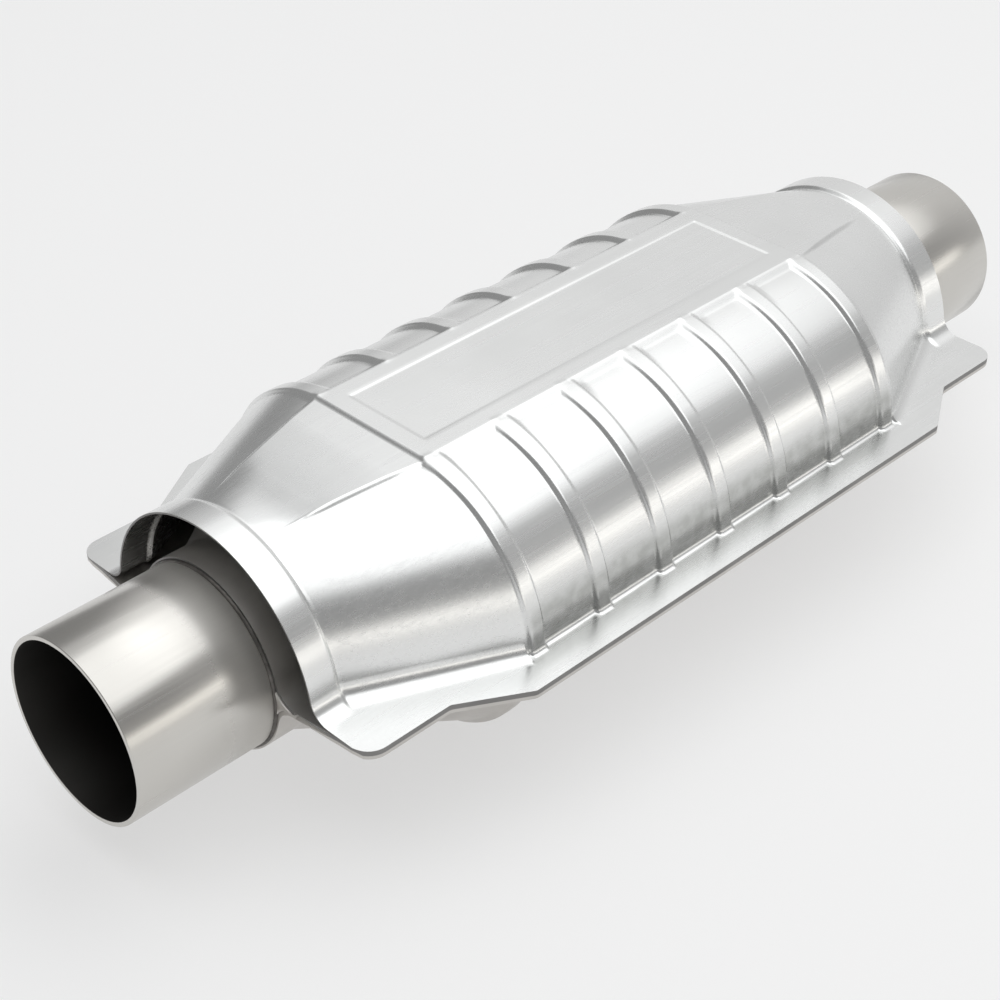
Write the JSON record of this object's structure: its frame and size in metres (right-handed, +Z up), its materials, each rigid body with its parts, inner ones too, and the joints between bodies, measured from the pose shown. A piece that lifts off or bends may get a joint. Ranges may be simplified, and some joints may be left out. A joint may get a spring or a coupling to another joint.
{
  "type": "catalytic converter",
  "caption": "Oval pressed-steel exhaust converter with a ribbed heat shield, wide side flanges, tapered ends and a straight round neck at each end; honeycomb bricks inside.",
  "frame": {"origin": "centre of the footprint at the flat panel on the underside of the lower shell", "axes": "+X along the gas path from the inlet neck to the outlet neck, +Y across the flanges, +Z up through the heat shield"},
  "size_m": [0.402, 0.1634, 0.0973],
  "materials": {
    "shield_steel": "bright pressed stainless sheet, satin",
    "shell_steel": "pressed stainless sheet, mill finish",
    "weld_steel": "as-welded bead",
    "neck_steel": "brushed along the tube",
    "catalyst_ceramic": "matt, washcoated honeycomb",
    "support_mat": "ceramic-fibre mat",
    "mesh_seal": "knitted wire"
  },
  "bodies": {
    "root": {"heat_shield": "shield_steel", "upper_shell": "shell_steel", "lower_shell": "shell_steel", "inlet_neck_weld": "weld_steel", "outlet_neck_weld": "weld_steel", "inlet_neck": "neck_steel", "outlet_neck": "neck_steel", "front_brick": "catalyst_ceramic", "front_brick_mat": "support_mat", "front_brick_inlet_seal": "mesh_seal", "front_brick_outlet_seal": "mesh_seal", "rear_brick": "catalyst_ceramic", "rear_brick_mat": "support_mat", "rear_brick_inlet_seal": "mesh_seal", "rear_brick_outlet_seal": "mesh_seal"}
  },
  "joints": []
}
